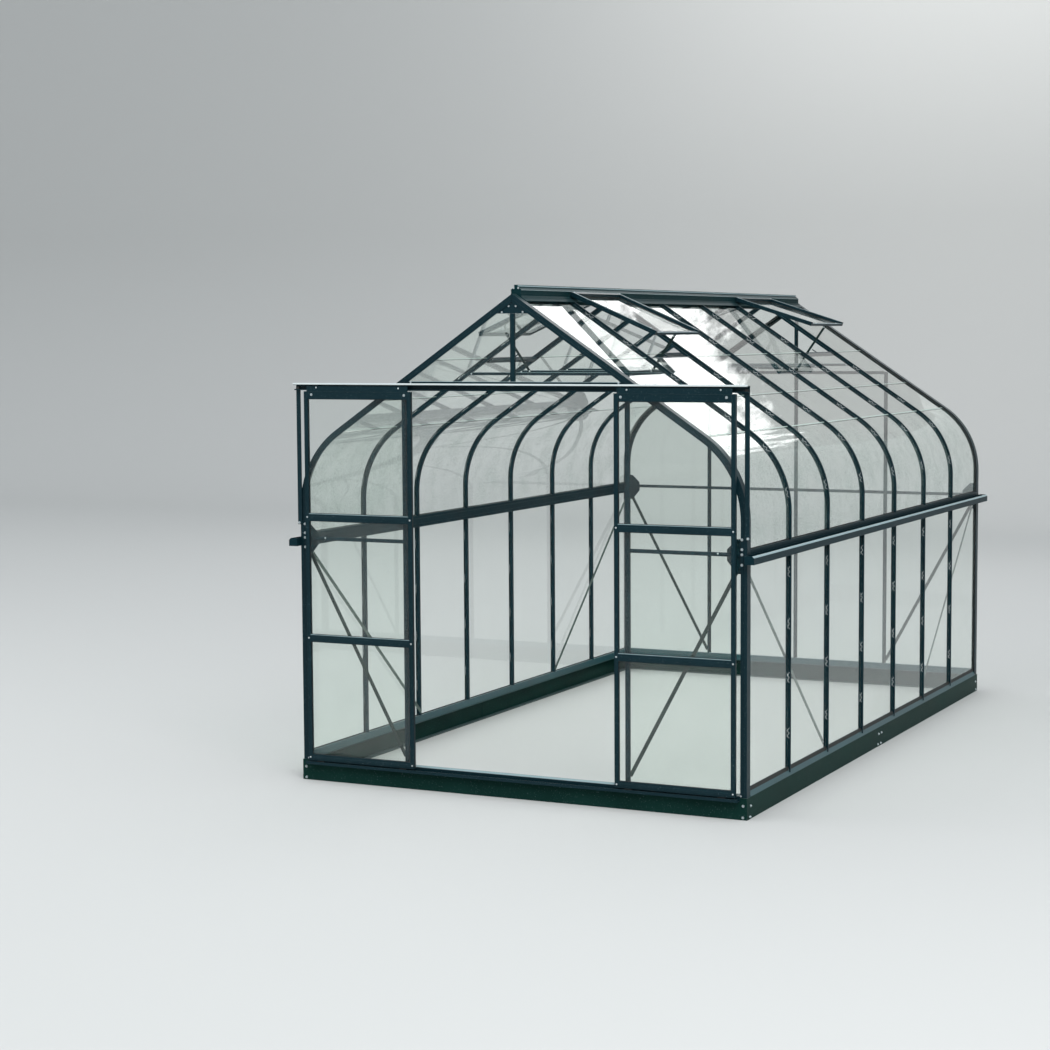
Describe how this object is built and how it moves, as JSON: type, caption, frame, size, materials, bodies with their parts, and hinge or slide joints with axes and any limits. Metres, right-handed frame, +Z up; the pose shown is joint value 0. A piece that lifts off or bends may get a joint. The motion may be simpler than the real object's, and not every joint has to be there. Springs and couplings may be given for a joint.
{
  "type": "glass greenhouse",
  "caption": "Aluminium-framed glass greenhouse with curved eaves, a ridged roof with open vents, gutters and a pair of sliding doors on a hanging track.",
  "frame": {"origin": "on the ground in the middle of the house, midway between the side walls", "axes": "+X to the right as seen from the doors, +Y along the house from the doors to the back, +Z up"},
  "size_m": [2.644, 4.49, 2.646],
  "materials": {
    "green_frame": "satin",
    "green_base": "satin",
    "bare_aluminium": "satin",
    "clear_glass": "clear",
    "nylon": "matte"
  },
  "bodies": {
    "house": {"apex_gussets": "green_frame", "base_channels": "green_base", "base_plates": "green_base", "collar_ties": "green_frame", "corner_posts": "green_frame", "door_jambs": "green_frame", "door_track": "green_frame", "eave_glass_left": "clear_glass", "eave_glass_right": "clear_glass", "eave_gussets": "green_frame", "front_glass": "clear_glass", "front_rails": "green_frame", "gable_braces": "bare_aluminium", "gable_rafters": "green_frame", "gutter_ends": "green_frame", "gutter_left": "green_frame", "gutter_right": "green_frame", "rear_glass": "clear_glass", "rear_rails": "green_frame", "rear_studs": "green_frame", "ridge": "green_frame", "roof_bars_left": "green_frame", "roof_bars_right": "green_frame", "roof_glass_left": "clear_glass", "roof_glass_right": "clear_glass", "side_bars_left": "green_frame", "side_bars_right": "green_frame", "side_braces": "bare_aluminium", "side_glass_left": "clear_glass", "side_glass_right": "clear_glass", "sills": "green_frame", "threshold": "green_frame", "vent_frames": "green_frame", "vent_glass": "clear_glass", "vent_stays": "bare_aluminium", "vent_transoms": "green_frame"},
    "door_left": {"door_left_panes": "clear_glass", "door_left_rails": "green_frame", "door_left_runners": "nylon", "door_left_stiles": "green_frame"},
    "door_right": {"door_right_panes": "clear_glass", "door_right_rails": "green_frame", "door_right_runners": "nylon", "door_right_stiles": "green_frame"}
  },
  "joints": [
    {"name": "door_left_slide", "type": "slide", "parent": "house", "child": "door_left", "axis": [1, 0, 0], "range_m": [0, 0.573]},
    {"name": "door_right_slide", "type": "slide", "parent": "house", "child": "door_right", "axis": [-1, 0, 0], "range_m": [0, 0.573]}
  ]
}
